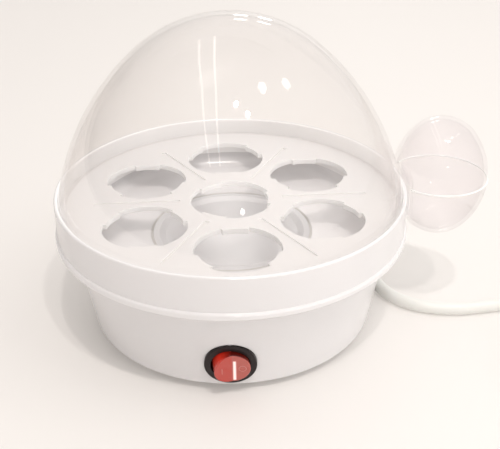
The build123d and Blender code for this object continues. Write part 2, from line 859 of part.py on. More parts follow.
def make_egg_tray():
    """Flat tray with tabbed egg holes, shallow grooves between them and a locating skirt."""
    radius = ring_inner_radius - tray_clearance
    skirt_outer = basin_radius - tray_clearance
    tray = rod(radius, ledge_z, tray_z)
    tray += rod(skirt_outer, ledge_z - tray_skirt_depth, ledge_z)
    tray -= rod(skirt_outer - tray_skirt_wall, ledge_z - tray_skirt_depth, ledge_z)
    rim = Circle(egg_hole_radius) - Circle(egg_hole_radius - egg_tab_depth)
    half = math.tan(math.radians(egg_tab_angle / 2)) * 2 * egg_hole_radius
    wedge = make_face(Polyline((0, 0), (2 * egg_hole_radius, -half), (2 * egg_hole_radius, half), close=True))
    tab_turns = [360 / egg_tabs_per_hole * index for index in range(egg_tabs_per_hole)]
    hole = Circle(egg_hole_radius) - [Rot(0, 0, turn) * (rim & wedge) for turn in tab_turns]
    cut = extrude(Pos(0, 0, ledge_z) * hole, tray_thickness)
    turn = Rot(0, 0, tray_turn)
    tray -= turn * cut
    for place in PolarLocations(egg_hole_circle_radius, outer_egg_holes, 30):
        tray -= turn * place * Rot(0, 0, 180) * cut
    inner_end = egg_hole_radius + groove_end_margin
    outer_end = skirt_outer - groove_end_margin
    groove = block(outer_end - inner_end, groove_width, tray_z - groove_depth, tray_z)
    for place in PolarLocations((inner_end + outer_end) / 2, outer_egg_holes):
        tray -= turn * place * groove
    return tray


def dome_fill(inset):
    """The dome's outer form, filled, drawn in by an inset: crown, tangent side arc and straight skirt."""
    lean = math.radians(dome_crown_angle)
    away = Vector(math.sin(lean), math.cos(lean))
    crown_centre = Vector(0, lid_top_z - dome_crown_radius)
    to_skirt = Vector(lid_radius, skirt_top_z) - crown_centre - away * dome_crown_radius
    side_radius = -to_skirt.dot(to_skirt) / (2 * to_skirt.dot(away))
    side_centre = crown_centre - away * (side_radius - dome_crown_radius)
    meet = 90 - dome_crown_angle
    skirt_angle = math.degrees(math.asin((skirt_top_z - side_centre.Y) / (side_radius - inset)))
    side = CenterArc(side_centre, side_radius - inset, skirt_angle, meet - skirt_angle)
    crown = CenterArc(crown_centre, dome_crown_radius - inset, meet, dome_crown_angle)
    skirt = Polyline(crown @ 1, (0, tray_z), ((side @ 0).X, tray_z), side @ 0)
    return turned(make_face([side, crown, skirt]))


grip_place = Rot(0, 0, grip_turn) * Pos(grip_reach, 0, grip_z)


def grip_half(inset, upper):
    """Half of the grip's egg form, drawn in by an inset."""
    half = half_egg(grip_radius - inset, grip_half_height - inset, grip_cap_radius - inset)
    return grip_place * (half if upper else Rot(180, 0, 0) * half)


def make_lid_dome():
    """Clear dome with the upper half of the grip moulded on, bridged over the rim by a neck."""
    neck_end = grip_reach - grip_radius + 2 * grip_wall
    neck = Rot(0, 0, grip_turn) * block(neck_end, grip_neck_width, grip_z, grip_z + grip_wall, neck_end / 2)
    bridge = rod(grip_trim_radius + grip_wall, grip_z, grip_z + grip_wall) + neck
    hollow = grip_half(grip_wall, True) - dome_fill(0) - bridge
    return dome_fill(0) + grip_half(0, True) + neck - hollow - dome_fill(lid_wall)


def make_grip_lower_shell():
    """Lower half of the grip, cut back to pass the ring."""
    outer = grip_half(0, False) - rod(grip_trim_radius, 0, grip_z)
    return outer - (grip_half(grip_wall, False) - rod(grip_trim_radius + grip_wall, 0, grip_z))


os.makedirs("parts", exist_ok=True)
coil, coil_length = make_cord_coil()
nodes = {
    "base_housing": make_base_housing(),
    "upper_ring": make_upper_ring(),
    "bottom_cover": make_bottom_cover(),
    "rubber_feet": make_rubber_feet(),
    "cover_screws": make_cover_screws(),
    "heating_plate": make_heating_plate(),
    "plate_seal": make_plate_seal(),
    "heating_element": make_heating_element(),
    "element_terminals": make_element_terminals(),
    "heater_bracket": make_heater_bracket(),
    "bracket_screws": make_bracket_screws(),
    "thermostat": make_thermostat(),
    "thermostat_terminals": make_thermostat_terminals(),
    "thermal_fuse": make_thermal_fuse(),
    "fuse_clip": make_fuse_clip(),
    "switch_housing": make_switch_housing(),
    "switch_rocker": make_switch_rocker(),
    "switch_terminals": make_switch_terminals(),
    "switch_lamp": make_switch_lamp(),
    "cord_gland": make_cord_gland(),
    "cord_inner_end": make_cord_inner_end(),
    "cord_clamp": make_cord_clamp(),
    "clamp_screws": make_clamp_screws(),
    "live_core": make_live_core(),
    "switched_lead": make_switched_lead(),
    "heater_lead": make_heater_lead(),
    "neutral_core": make_neutral_core(),
    "earth_core": make_earth_core(),
    "power_cord": tube(cord_route, cord_radius),
    "cord_coil": coil,
    "cord_tail": tube(tail_route, cord_radius),
    "plug_body": make_plug_body(),
    "plug_pins": make_plug_pins(),
    "earth_clips": make_earth_clips(),
    "egg_tray": make_egg_tray(),
    "lid_dome": make_lid_dome(),
    "grip_lower_shell": make_grip_lower_shell(),
}
for name, shape in nodes.items():
    export_step(shape, f"parts/{name}.step")

section = math.pi * cord_radius**2
free_lengths = [nodes[name].volume / section for name in ("power_cord", "cord_tail")]
print("cord arc radii", [round(radius, 1) for radius in arc_radii(cord_route)])
print("tail arc radii", [round(radius, 1) for radius in arc_radii(tail_route)])
print("coil least gap", round(coil_least_gap(), 2), "tube", round(coil.volume / section / coil_length, 4))
print("cord length", round(sum(free_lengths) + coil_length, 1))
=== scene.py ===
# %% [markdown]
# # An electric egg cooker, dressed around its CAD frame
# The cooker is a flared white base with a rocker switch, a ring that holds the egg tray and the water
# basin, and a clear domed lid with a hollow egg for a grip. The CAD model gives every size and place, in
# metres and in one frame: the switch faces -Y, the grip points to +X and +Z is up. The lesson loads that
# frame first. Then it adds the camera, the cord, the light and the finishes, and the few pieces that are too
# fine for the CAD model.

# %% Load the frame
import bpy
import math
from mathutils import Matrix, Vector


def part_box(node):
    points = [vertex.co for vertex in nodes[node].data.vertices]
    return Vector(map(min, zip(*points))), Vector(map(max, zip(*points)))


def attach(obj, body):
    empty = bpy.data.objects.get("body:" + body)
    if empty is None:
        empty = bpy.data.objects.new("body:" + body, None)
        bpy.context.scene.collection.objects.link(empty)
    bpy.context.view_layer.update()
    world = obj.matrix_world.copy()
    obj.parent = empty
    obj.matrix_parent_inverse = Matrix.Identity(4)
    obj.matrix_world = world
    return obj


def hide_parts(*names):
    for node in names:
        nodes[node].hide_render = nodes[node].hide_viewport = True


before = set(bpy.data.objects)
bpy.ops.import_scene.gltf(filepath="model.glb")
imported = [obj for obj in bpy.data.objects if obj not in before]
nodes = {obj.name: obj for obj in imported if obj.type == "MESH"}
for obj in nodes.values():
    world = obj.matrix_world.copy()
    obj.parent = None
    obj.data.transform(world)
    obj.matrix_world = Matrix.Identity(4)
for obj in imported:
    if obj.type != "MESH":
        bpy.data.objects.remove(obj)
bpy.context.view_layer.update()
millimetre = 0.001

# %% [markdown]
# The photograph is taken from just above the table, straight at the switch, with a lens a little longer
# than normal. A camera is placed by where it stands and what it looks at, plus a small roll, because three
# such values are easier to correct against a photograph than a rotation matrix.

# %% Camera
photo_width = 500
focal_pixels = 869.3
camera_place = Vector((0.00835, -0.37964, 0.25884))
camera_aim = Vector((0.0092, 0.0, 0.0476))
camera_roll = math.radians(-0.40)


def add_object(name, data):
    """New object in the scene."""
    made = bpy.data.objects.new(name, data)
    bpy.context.scene.collection.objects.link(made)
    return made


camera_data = bpy.data.cameras.new("camera")
camera_data.sensor_fit = "HORIZONTAL"
camera_data.lens = camera_data.sensor_width * focal_pixels / photo_width
camera_data.clip_start = 0.01
camera_data.clip_end = 50
camera = add_object("camera", camera_data)
look = (camera_aim - camera_place).to_track_quat("-Z", "Y").to_matrix().to_4x4()
camera.matrix_world = Matrix.Translation(camera_place) @ look @ Matrix.Rotation(camera_roll, 4, "Z")
bpy.context.scene.camera = camera
print("camera", round(camera_data.lens, 2), "mm lens")

# %% [markdown]
# The cord leaves the base behind the cooker through its strain relief, swings round on the table and passes
# under the grip to the right. What the camera doesn't see is wound into a small coil with the plug beside
# it. The route on the table is a list of given points. The coil's turns come from a formula: in on the
# table, up a layer as the spiral reverses, and out again on top.

# %% Route of the cord
cord_diameter = 6.5 * millimetre
cord_height = 3.5 * millimetre
cord_table_route = [
    (0.0000, 0.09804, 0.01176),
    (0.0000, 0.11185, 0.00947),
    (0.0049, 0.1270, 0.0068),
    (0.0165, 0.1394, 0.0046),
    (0.0323, 0.1458, cord_height),
    (0.0493, 0.1451, cord_height),
    (0.0643, 0.1371, cord_height),
    (0.0751, 0.1227, cord_height),
    (0.0803, 0.1034, cord_height),
    (0.0803, 0.0794, cord_height),
    (0.0766, 0.0540, cord_height),
    (0.0749, 0.0320, cord_height),
    (0.0759, 0.0170, cord_height),
    (0.0806, 0.0036, cord_height),
    (0.0900, -0.0056, cord_height),
    (0.1025, -0.0104, cord_height),
    (0.1165, -0.0116, cord_height),
    (0.1315, -0.0089, cord_height),
    (0.1475, -0.0064, cord_height),
    (0.1635, -0.0055, cord_height),
]
coil_centre = Vector((0.2040, 0.0314))
coil_outer_radius = 36.0 * millimetre
coil_pitch = 7.2 * millimetre
coil_rise = 7.0 * millimetre
coil_floor_turns, coil_climb_turns, coil_top_turns = 1.0, 0.5, 0.25
coil_points_per_turn = 16
coil_run_in_length = 17 * millimetre
direction_step = 1e-4
tail_runs = 3


def coil_point(turns):
    """Point of the coil's middle line after a number of turns."""
    climb_end = coil_floor_turns + coil_climb_turns
    inner = coil_outer_radius - coil_pitch * coil_floor_turns
    if turns <= coil_floor_turns:
        radius, height = coil_outer_radius - coil_pitch * turns, cord_height
    elif turns >= climb_end:
        radius, height = inner + coil_pitch * (turns - climb_end), cord_height + coil_rise
    else:
        share = (turns - coil_floor_turns) / coil_climb_turns
        radius = inner - coil_pitch * coil_climb_turns * (share - share**2)
        height = cord_height + coil_rise * (1 - math.cos(math.pi * share)) / 2
    angle = math.tau * turns - math.pi / 2
    flat = coil_centre + Vector((math.cos(angle), math.sin(angle))) * radius
    return Vector((*flat, height))


def coil_direction(before, after):
    """Direction of the coil's middle line between two turns."""
    return (coil_point(after) - coil_point(before)).normalized()


coil_turns = coil_floor_turns + coil_climb_turns + coil_top_turns
coil_count = round(coil_turns * coil_points_per_turn)
coil_route = [coil_point(index / coil_points_per_turn) for index in range(coil_count + 1)]
start_direction = coil_direction(0, direction_step)
coil_run_in = coil_route[0] - start_direction * (coil_run_in_length + cord_diameter)
near_end = coil_turns - 10 * direction_step
end_direction = coil_direction(near_end - direction_step, near_end + direction_step)
coil_end = coil_route[-1] + end_direction * cord_diameter
plug_low, plug_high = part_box("plug_body")
plug_tail = Vector(((plug_low.x + plug_high.x) / 2, plug_high.y, (plug_low.z + plug_high.z) / 2))
tail_step = (plug_tail - coil_end).length / tail_runs
tail_middle = [coil_end + end_direction * tail_step, plug_tail + Vector((0, tail_step, 0))]
tail_route = [coil_end, *tail_middle, plug_tail]
cord_route = [*cord_table_route, coil_run_in, *coil_route, *tail_route]
print("cord route", len(cord_route), "control points,", coil_turns, "turns in the coil")

# %% [markdown]
# One NURBS spline carries the whole length, with the route's points as its control points. The order and the
# end points are set after the points are in, or the spline would stay straight. A curve's box takes in each
# point's radius, so the thickness is set there, on a bevel of one metre.

# %% Cord
cord_curve = bpy.data.curves.new("cord", "CURVE")
cord_curve.dimensions = "3D"
cord_curve.bevel_depth = 1.0
cord_curve.bevel_resolution = 8
cord_curve.use_fill_caps = True
cord_curve.resolution_u = 8
cord_line = cord_curve.splines.new("NURBS")
cord_line.points.add(len(cord_route) - 1)
for point, place in zip(cord_line.points, cord_route):
    point.co = (*place, 1)
    point.radius = cord_diameter / 2
cord_line.order_u = 3
cord_line.use_endpoint_u = True
cord = add_object("cord", cord_curve)
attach(cord, "base")
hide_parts("power_cord", "cord_coil", "cord_tail")
print("cord", round(cord_line.calc_length(), 3), "m")

# %% [markdown]
# A flat tie holds the coil's two layers together where they lie on each other. It goes round both strands, so
# its route is two half circles, one for each strand. A NURBS spline runs a little inside its control points,
# so the strands lie nearer to the coil's middle than the cord's route says.

# %% Route of the coil tie
tie_turns = 0.35
tie_width, tie_thickness, tie_slack = 4.0 * millimetre, 0.2 * millimetre, 0.02 * millimetre
tie_arc_steps = 12
spline_inset = math.cos(math.pi / coil_points_per_turn)
tie_angle = math.tau * tie_turns - math.pi / 2
tie_outward = Vector((math.cos(tie_angle), math.sin(tie_angle), 0))
tie_along = Vector((-math.sin(tie_angle), math.cos(tie_angle), 0))


def strand_place(turns):
    """Middle of the cord in the tie's upright plane, as distance from the coil's middle and height."""
    place = coil_point(turns)
    return Vector(((place.xy - coil_centre).length * spline_inset, place.z))


def in_coil(flat):
    """Point of the tie's plane in the room."""
    return coil_centre.to_3d() + tie_outward * flat.x + Vector((0, 0, flat.y))


low_strand, high_strand = strand_place(tie_turns), strand_place(tie_turns + 1)
between = (high_strand - low_strand).normalized()
tie_reach = (cord_diameter + tie_thickness) / 2 + tie_slack
loop_route = []
for strand, start in ((high_strand, -90), (low_strand, 90)):
    for step in range(tie_arc_steps + 1):
        turn = math.radians(start + 180 * step / tie_arc_steps)
        offset = Matrix.Rotation(turn, 2) @ between
        loop_route.append(in_coil(strand + offset * tie_reach))
print("tie loop", len(loop_route), "points")

# %% [markdown]
# The tie is one ribbon, and its ends are twisted round each other. The ribbon is swept by hand, a flat
# section at each point of its route, because a curve's bevel can't turn a flat section freely.

# %% Coil tie
twist_length, twist_turns, twist_steps = 13.0 * millimetre, 2.0, 24
twist_width, twist_gap = 1.6 * millimetre, 0.35 * millimetre
twist_flare, twist_flare_from = 2.2 * millimetre, 0.75


def ribbon_faces(mesh_points, mesh_faces, route, across, width, closed):
    """Adds a ribbon with a flat section at each point of a route; across gives its width's directions."""
    first, count = len(mesh_points), len(route)
    for index, (place, side) in enumerate(zip(route, across)):
        after = route[(index + 1) % count] if closed or index + 1 < count else place
        before = route[index - 1] if closed or index else place
        out = side.cross(after - before).normalized() * tie_thickness / 2
        for width_sign, out_sign in ((-1, -1), (1, -1), (1, 1), (-1, 1)):
            mesh_points.append(place + side * width_sign * width / 2 + out * out_sign)
    for index in range(count if closed else count - 1):
        near, far = first + 4 * index, first + 4 * ((index + 1) % count)
        for corner in range(4):
            turn = (corner + 1) % 4
            mesh_faces.append((near + corner, near + turn, far + turn, far + corner))
    if not closed:
        mesh_faces.append((first + 3, first + 2, first + 1, first))
        last = first + 4 * (count - 1)
        mesh_faces.append((last, last + 1, last + 2, last + 3))


tie_points, tie_faces = [], []
ribbon_faces(tie_points, tie_faces, loop_route, [tie_along] * len(loop_route), tie_width, True)
twist_start = in_coil(high_strand + between * tie_reach)
twist_way = (tie_outward * between.x + Vector((0, 0, between.y))).normalized()
twist_side = tie_along.cross(twist_way)
for end in (0, math.pi):
    route, across = [], []
    for step in range(twist_steps + 1):
        share = step / twist_steps
        turn = end + math.tau * twist_turns * share
        away = tie_along * math.cos(turn) + twist_side * math.sin(turn)
        spread = twist_gap + twist_flare * max(0, share - twist_flare_from)
        route.append(twist_start + twist_way * twist_length * share + away * spread)
        across.append(twist_side * math.cos(turn) - tie_along * math.sin(turn))
    ribbon_faces(tie_points, tie_faces, route, across, twist_width, False)
tie_mesh = bpy.data.meshes.new("coil_tie")
tie_mesh.from_pydata(tie_points, [], tie_faces)
tie_mesh.validate()
coil_tie = add_object("coil_tie", tie_mesh)
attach(coil_tie, "base")
print("tie", len(tie_faces), "faces")

# %% [markdown]
# Every surface and the room itself are built from shader nodes. A node takes several lines to add, set and
# link, so short helpers do that, and a material then reads like a list of what it is made of.


# %% Shader helpers
def add_node(tree, kind, inputs=None, **settings):
    """Adds a shader node with its settings, and its inputs given as values or as sockets to link."""
    made = tree.nodes.new(kind)
    for key, value in settings.items():
        setattr(made, key, value)
    for key, value in (inputs or {}).items():
        if isinstance(value, bpy.types.NodeSocket):
            tree.links.new(value, made.inputs[key])
        else:
            made.inputs[key].default_value = value
    return made


def math_node(tree, operation, first, second=0.0, clamp=False):
    """Output of a maths node on two values or sockets."""
    inputs = {0: first, 1: second}
    return add_node(tree, "ShaderNodeMath", inputs, operation=operation, use_clamp=clamp).outputs[0]


def map_range(tree, value, from_range, to_range=(0.0, 1.0)):
    """Output of a clamped change of range."""
    inputs = {"Value": value, 1: from_range[0], 2: from_range[1], 3: to_range[0], 4: to_range[1]}
    return add_node(tree, "ShaderNodeMapRange", inputs).outputs["Result"]


def mix_colours(tree, share, first, second, blend_type="MIX"):
    """Output of a colour mix, from the first colour at share 0 to the second at share 1."""
    inputs = {0: share, 6: first, 7: second}
    return add_node(tree, "ShaderNodeMix", inputs, data_type="RGBA", blend_type=blend_type).outputs[2]


def mix_shaders(tree, share, first, second, output="Material Output"):
    """Mixes two shaders, from the first at share 0 to the second at share 1, and shows the result."""
    choice = add_node(tree, "ShaderNodeMixShader", {0: share, 1: first.outputs[0], 2: second.outputs[0]})
    tree.links.new(choice.outputs[0], tree.nodes[output].inputs["Surface"])


def split(tree, vector):
    """X, Y and Z outputs of a vector."""
    return add_node(tree, "ShaderNodeSeparateXYZ", {0: vector}).outputs


def axis_distance(tree, place):
    """Distance of a place from the Z axis."""
    flat = add_node(tree, "ShaderNodeVectorMath", {0: place, 1: (1, 1, 0)}, operation="MULTIPLY")
    length = add_node(tree, "ShaderNodeVectorMath", {0: flat.outputs[0]}, operation="LENGTH")
    return length.outputs["Value"]


def is_ray(tree, *kinds):
    """Socket that is 1 for rays of any of these kinds."""
    path = add_node(tree, "ShaderNodeLightPath")
    found = path.outputs[f"Is {kinds[0]} Ray"]
    for kind in kinds[1:]:
        found = math_node(tree, "MAXIMUM", found, path.outputs[f"Is {kind} Ray"])
    return found


def new_material(name):
    """New material with its node tree and its Principled shader."""
    material = bpy.data.materials.new(name)
    material.use_nodes = True
    return material, material.node_tree, material.node_tree.nodes["Principled BSDF"]


def set_inputs(shader, values):
    """Sets plain values on a shader's sockets."""
    for key, value in values.items():
        shader.inputs[key].default_value = value


print("shader helpers ready")

# %% [markdown]
# The cooker stands on a pale table that fills the camera's view, so the background is the table's own colour.
# It is a shade lighter on its right, which is painted light, as more of the room's light falls there. A white
# table lit to the photograph's tone would need more light than the object should get, so a fifth of its tone
# is emission, for the rays that see it directly.

# %% Floor
floor_size = 12.0
floor_left, floor_right = (0.808, 0.785, 0.766, 1), (0.856, 0.834, 0.814, 1)
painted_light_fade = -0.2, 0.12
floor_glow, floor_glow_share = (0.93, 0.86, 0.80, 1), 0.2
direct_rays = "Camera", "Glossy", "Transmission"

half = floor_size / 2
floor_corners = [(-half, -half, 0), (half, -half, 0), (half, half, 0), (-half, half, 0)]
floor_mesh = bpy.data.meshes.new("floor")
floor_mesh.from_pydata(floor_corners, [], [(0, 1, 2, 3)])
floor = add_object("floor", floor_mesh)
floor_material, tree, surface = new_material("pale_table")
place = split(tree, add_node(tree, "ShaderNodeTexCoord").outputs["Object"])
# painted light: the table's colour is lighter on the right, where more of the room's light falls
tone = mix_colours(tree, map_range(tree, place["X"], painted_light_fade), floor_left, floor_right)
tree.links.new(tone, surface.inputs["Base Color"])
set_inputs(surface, {"Roughness": 0.6})
glow = add_node(tree, "ShaderNodeEmission", {"Color": floor_glow, "Strength": 1.0})
glow_share = math_node(tree, "MULTIPLY", is_ray(tree, *direct_rays), floor_glow_share)
mix_shaders(tree, glow_share, surface, glow)
floor_mesh.materials.append(floor_material)
print("floor", floor_size, "m wide")

# %% [markdown]
# The room is bright, and lighter on its right side. A world background that changes with the direction gives
# that light. What is seen directly or in a mirror has a level of its own: the left of the room is dark in
# the dome's reflections.

# %% Room
room_bright_side = (1.0, 0.0, 0.4)
room_light_left, room_light_right = (1.0, 0.94, 0.895, 1), (1.0, 0.985, 0.965, 1)
room_fade, room_strength = (-1, 1.05), (0.44, 0.98)
mirror_fade, room_mirrored_strength = (-0.9, 0.1), (0.15, 1.0)
room_seen, room_seen_strength = (1.0, 0.96, 0.93, 1), 0.95

room = bpy.data.worlds.new("room")
room.use_nodes = True
tree = room.node_tree
direction = add_node(tree, "ShaderNodeTexCoord").outputs["Generated"]
dot = add_node(tree, "ShaderNodeVectorMath", {0: direction, 1: room_bright_side}, operation="DOT_PRODUCT")
towards = dot.outputs["Value"]
to_right = map_range(tree, towards, room_fade)
lighting = tree.nodes["Background"]
tree.links.new(mix_colours(tree, to_right, room_light_left, room_light_right), lighting.inputs["Color"])
tree.links.new(map_range(tree, to_right, (0, 1), room_strength), lighting.inputs["Strength"])
mirrored_level = map_range(tree, towards, mirror_fade, room_mirrored_strength)
seen_level = map_range(tree, is_ray(tree, "Glossy"), (0, 1), (room_seen_strength, mirrored_level))
seen = add_node(tree, "ShaderNodeBackground", {"Color": room_seen, "Strength": seen_level})
mix_shaders(tree, is_ray(tree, *direct_rays), lighting, seen, "World Output")
bpy.context.scene.world = room
print("room strength from", room_strength[0], "to", room_strength[1])

# %% [markdown]
# Two small lamps on the ceiling draw the pairs of sharp shadows beside the base and under the grip, so their
# places follow from where those shadows fall. Two thin strips leave the upright streaks on the dome, lamps
# further off leave its bright spots, and a window brightens the right side. A real lid also scatters light on
# to the ring's inner wall, which a perfectly clear one can't do. A very weak lamp inside the dome stands for
# that, and light linking keeps it off every other piece.

# %% Lamps
lamp_colour, window_colour = (1.0, 0.945, 0.905), (1.0, 0.985, 0.97)
middle = (0, 0, 0.06)
ceiling = 2.2
strip_y, strip_length = -0.45, 4.1
strip_places = {"outer_strip": -0.70, "inner_strip": -0.33}
far_lamps = {
    "aisle_lamp": (0.89, -0.34, ceiling),
    "corner_lamp": (1.60, 0.18, ceiling),
    "front_lamp": (0.59, -3.79, 1.46),
    "back_lamp": (0.12, 3.0, 0.86),
    "back_corner_lamp": (0.43, 3.0, 0.68),
}
window_place, window_size = (0.90, -0.30, 0.8), 0.8
wall_fill_place, wall_fill_aim = (-0.045, 0.0, 0.071), (0.083, -0.006, 0.066)


def room_lamp(name, place, aim, size, power, colour=lamp_colour, length=None):
    """Round lamp that faces a point; a strip or a window has a length, and is a rectangle."""
    data = bpy.data.lights.new(name, "AREA")
    data.shape = "RECTANGLE" if length else "DISK"
    data.size = size
    data.size_y = length or size
    data.energy = power
    data.color = colour
    lamp = add_object(name, data)
    lamp.location = place
    lamp.rotation_euler = (Vector(aim) - Vector(place)).to_track_quat("-Z", "Y").to_euler()
    return lamp


room_lamp("right_lamp", (0.53, -1.02, ceiling), middle, size=0.10, power=10.5)
room_lamp("left_lamp", (0.19, -0.85, ceiling), middle, size=0.10, power=10.7)
for name, x in strip_places.items():
    room_lamp(name, (x, strip_y, ceiling), (x, strip_y, 0), size=0.05, power=1.3, length=strip_length)
for name, place in far_lamps.items():
    room_lamp(name, place, middle, size=0.2, power=0.7)
window = room_lamp("window", window_place, middle, window_size, 2.0, window_colour, length=window_size)
wall_fill = room_lamp("wall_fill", wall_fill_place, wall_fill_aim, size=0.012, power=0.017)
wall_fill.data.spread = math.radians(100)
wall_fill.light_linking.receiver_collection = bpy.data.collections.new("wall_fill_receivers")
wall_fill.light_linking.receiver_collection.objects.link(nodes["upper_ring"])
for lamp in (window, wall_fill):
    lamp.visible_glossy = False
    lamp.visible_transmission = False
print("lamps", len(bpy.data.lights))

# %% [markdown]
# Moulded plastic is never one flat colour: the moulding leaves a fine grain, the tone drifts a little with
# the flow of the melt, and hands and cloths leave places that are slightly duller. A turned plate has rings
# from the cutting tool. Several finishes share these effects, so each is a node group that is built once and
# placed with its own values.

# %% Node groups shared by the finishes
flow_scale, dull_scale, dull_detail = 16, 45, 4
smudge_edge, hairline_edge = (0.52, 0.72), (0.62, 0.7)
hairline_scale, hairline_stretch = 260, (1, 0.06, 0.35)
value_socket, colour_socket = "NodeSocketFloat", "NodeSocketColor"


def new_group(name, inputs, outputs):
    """Empty shader group with value or colour sockets, its inputs given with their defaults."""
    group = bpy.data.node_groups.new(name, "ShaderNodeTree")
    for socket, default in inputs.items():
        kind = colour_socket if isinstance(default, tuple) else value_socket
        group.interface.new_socket(socket, in_out="INPUT", socket_type=kind).default_value = default
    for socket, kind in outputs.items():
        group.interface.new_socket(socket, in_out="OUTPUT", socket_type=kind)
    return group, group.nodes.new("NodeGroupInput").outputs, group.nodes.new("NodeGroupOutput").inputs


def place_noise(tree, scale, detail=3.0, stretch=(1, 1, 1)):
    """Noise in the object's own coordinates, where one unit is a metre."""
    coordinates = add_node(tree, "ShaderNodeTexCoord").outputs["Object"]
    mapping = add_node(tree, "ShaderNodeMapping", {"Vector": coordinates, "Scale": stretch})
    inputs = {"Vector": mapping.outputs[0], "Scale": scale, "Detail": detail}
    return add_node(tree, "ShaderNodeTexNoise", inputs).outputs[0]


def swing(tree, noise, amount):
    """Noise spread to both sides of zero, by an amount."""
    width = math_node(tree, "MULTIPLY", amount, 2.0)
    return math_node(tree, "MULTIPLY", math_node(tree, "SUBTRACT", noise, 0.5), width)


def make_moulded_skin():
    """Tone drift, uneven gloss and fine grain of a moulded part."""
    group, given, made = new_group(
        "moulded_skin",
        {"Colour": (0.8, 0.8, 0.8, 1), "Drift": 0.03, "Roughness": 0.3, "Unevenness": 0.06, "Grain": 1200.0},
        {"Colour": colour_socket, "Roughness": value_socket, "Height": value_socket},
    )
    level = math_node(group, "ADD", swing(group, place_noise(group, flow_scale), given["Drift"]), 1.0)
    tint = add_node(group, "ShaderNodeCombineColor", {0: level, 1: level, 2: level}).outputs[0]
    group.links.new(mix_colours(group, 1.0, given["Colour"], tint, "MULTIPLY"), made["Colour"])
    spread = swing(group, place_noise(group, dull_scale, dull_detail), given["Unevenness"])
    rough = math_node(group, "ADD", given["Roughness"], spread, clamp=True)
    group.links.new(rough, made["Roughness"])
    group.links.new(place_noise(group, given["Grain"], detail=2), made["Height"])
    return group


def make_hand_marks():
    """Mask of smudges and wiping hairlines, from 0 to 1."""
    inputs = {"Smudge size": 28.0, "Hairlines": 0.35}
    group, given, made = new_group("hand_marks", inputs, {"Mask": value_socket})
    smudges = map_range(group, place_noise(group, given["Smudge size"], detail=4), smudge_edge)
    hairline_noise = place_noise(group, hairline_scale, detail=2, stretch=hairline_stretch)
    wiped = map_range(group, hairline_noise, hairline_edge)
    hairlines = math_node(group, "MULTIPLY", wiped, given["Hairlines"])
    group.links.new(math_node(group, "MAXIMUM", smudges, hairlines), made["Mask"])
    return group


def make_turned_rings():
    """Height of the rings that a cutting tool leaves round the Z axis."""
    group, given, made = new_group("turned_rings", {"Pitch": 0.6 * millimetre}, {"Height": value_socket})
    reach = axis_distance(group, add_node(group, "ShaderNodeTexCoord").outputs["Object"])
    turns = math_node(group, "MULTIPLY", math_node(group, "DIVIDE", reach, given["Pitch"]), math.tau)
    group.links.new(math_node(group, "SINE", turns), made["Height"])
    return group


moulded_skin, hand_marks, turned_rings = make_moulded_skin(), make_hand_marks(), make_turned_rings()
print("groups", [group.name for group in bpy.data.node_groups])

# %% [markdown]
# The white parts are glossy moulded plastic of a warm white, thin enough to let some light through. The
# Principled shader stays in each material, and the skin group feeds its colour, its roughness and, through a
# Bump node, its normal. Subsurface light softens the shading, and a share of the shadow and scattered rays
# passes each face, because the basin under the tray would be too dark otherwise.

# %% Plastic shader
skin_grain = 1300.0
glow_radius, glow_scale = (1.0, 0.97, 0.95), 2 * millimetre
scattered_rays = "Shadow", "Diffuse"


def place_group(tree, group, **values):
    """Places a node group in a material, with its own values."""
    made = tree.nodes.new("ShaderNodeGroup")
    made.node_tree = group
    set_inputs(made, values)
    return made


def add_skin(tree, shader, colour, roughness, drift, unevenness, grain):
    """Places the skin group, which drives a shader's colour and gloss."""
    skin = place_group(tree, moulded_skin, Colour=colour, Drift=drift)
    set_inputs(skin, {"Roughness": roughness, "Unevenness": unevenness, "Grain": grain})
    tree.links.new(skin.outputs["Colour"], shader.inputs["Base Color"])
    tree.links.new(skin.outputs["Roughness"], shader.inputs["Roughness"])
    return skin


def add_bump(tree, shader, height, depth):
    """Turns a height into a shader's normal."""
    bump = add_node(tree, "ShaderNodeBump", {"Height": height, "Distance": depth, "Strength": 1.0})
    tree.links.new(bump.outputs[0], shader.inputs["Normal"])


def plastic(name, colour, roughness, drift=0.02, unevenness=0.05, grain_depth=0.00002, coat=0.0, glow=0.0):
    """Moulded plastic; glow is how far light gets into and through its thin walls."""
    material, tree, shader = new_material(name)
    skin = add_skin(tree, shader, colour, roughness, drift, unevenness, skin_grain)
    add_bump(tree, shader, skin.outputs["Height"], grain_depth)
    set_inputs(shader, {"IOR": 1.5, "Coat Weight": coat})
    if glow:
        set_inputs(shader, {"Subsurface Weight": glow})
        set_inputs(shader, {"Subsurface Radius": glow_radius, "Subsurface Scale": glow_scale})
        passing = math_node(tree, "MULTIPLY", is_ray(tree, *scattered_rays), glow)
        mix_shaders(tree, passing, shader, add_node(tree, "ShaderNodeBsdfTransparent"))
    return material


def skin_of(tree):
    """Skin group of a plastic's node tree."""
    return next(node for node in tree.nodes if node.type == "GROUP")


def paint_light(material, colour, find_mask):
    """Gives a plastic a lighter colour where a mask says so, as painted light."""
    tree = material.node_tree
    painted = skin_of(tree).inputs["Colour"]
    mask = find_mask(tree, add_node(tree, "ShaderNodeTexCoord").outputs)
    tree.links.new(mix_colours(tree, mask, tuple(painted.default_value), colour), painted)


print("plastic shader ready")

# %% [markdown]
# Most plastic parts differ only in colour, gloss and grain. Two have a second, lighter colour, which is
# painted light: the ring on its inner wall and the tray on the walls of its holes and grooves, where light
# goes back and forth between pale faces more often than the render follows it.

# %% Plastic finishes
inner_reach, inner_blend, inner_height = 83.3 * millimetre, 0.7 * millimetre, 56.5 * millimetre
upright_limit = 0.5


